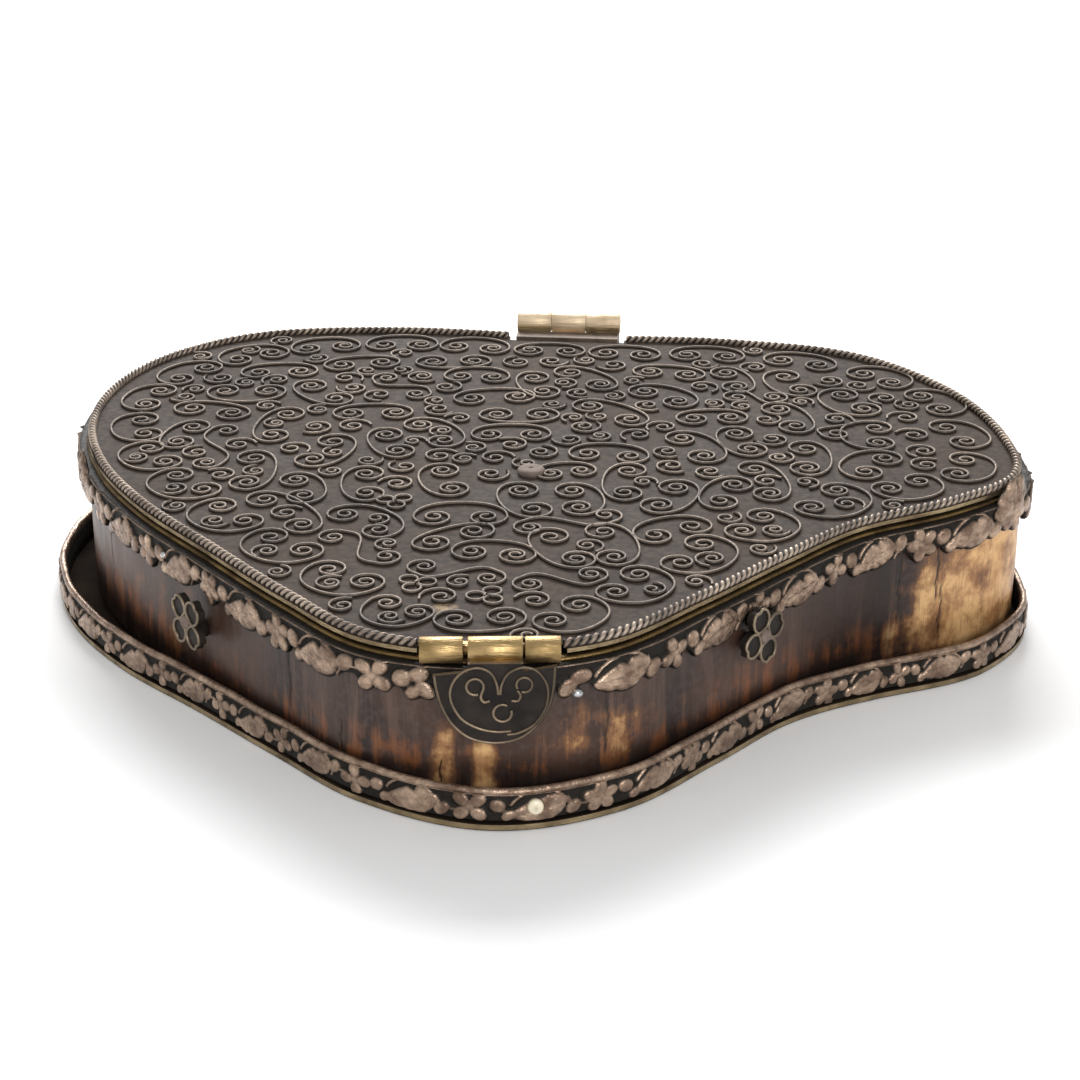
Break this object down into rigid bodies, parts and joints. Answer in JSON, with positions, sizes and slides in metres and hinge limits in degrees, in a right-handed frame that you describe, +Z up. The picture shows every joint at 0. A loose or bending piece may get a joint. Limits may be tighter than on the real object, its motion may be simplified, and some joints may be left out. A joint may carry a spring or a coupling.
{
  "type": "bone box",
  "caption": "Small free-form box: stained bone wall in a low metal tray, hinged lid of scrolled wire and a hanging hasp.",
  "frame": {"origin": "on the surface that the box stands on, under the middle of its plan", "axes": "+X to the right as seen from the front, +Y towards the hinge at the back, +Z up"},
  "size_m": [0.097, 0.0845, 0.0202],
  "materials": {
    "silver": "oxidised silver, dark in the recesses, worn pinkish brown on the raised leaves",
    "lid_metal": "blackened metal with grey-brown scrolled wire",
    "dark_metal": "dark tarnished metal with paler wire on it",
    "brass": "worn brass, satin",
    "tin": "dull grey, worn",
    "bone": "polished bone stained brown, with tan patches, streaks and fine cracks",
    "cream": "polished cream bone"
  },
  "bodies": {
    "box": {"base_plate": "silver", "base_rim": "silver", "bone_wall": "bone", "collar": "silver", "bezel": "brass", "left_flower": "dark_metal", "right_flower": "dark_metal", "rim_peg": "cream", "hinge_box_leaf": "brass", "hinge_pin": "brass"},
    "lid": {"lid_plate": "lid_metal", "lid_rope_right": "silver", "lid_rope_left": "silver", "lid_rivet": "tin", "hinge_lid_leaf": "brass", "clasp_leaf": "brass", "clasp_pin": "brass"},
    "hasp": {"hasp": "dark_metal"}
  },
  "joints": [
    {"name": "lid_hinge", "type": "hinge", "parent": "box", "child": "lid", "pos_m": [0, 0.04021, 0.01913], "axis": [-1, 0, 0], "range_deg": [0, 105]},
    {"name": "hasp_hinge", "type": "hinge", "parent": "lid", "child": "hasp", "pos_m": [0, -0.03953, 0.01425], "axis": [-0.9945, -0.1044, -0.0055], "range_deg": [0, 135]}
  ]
}
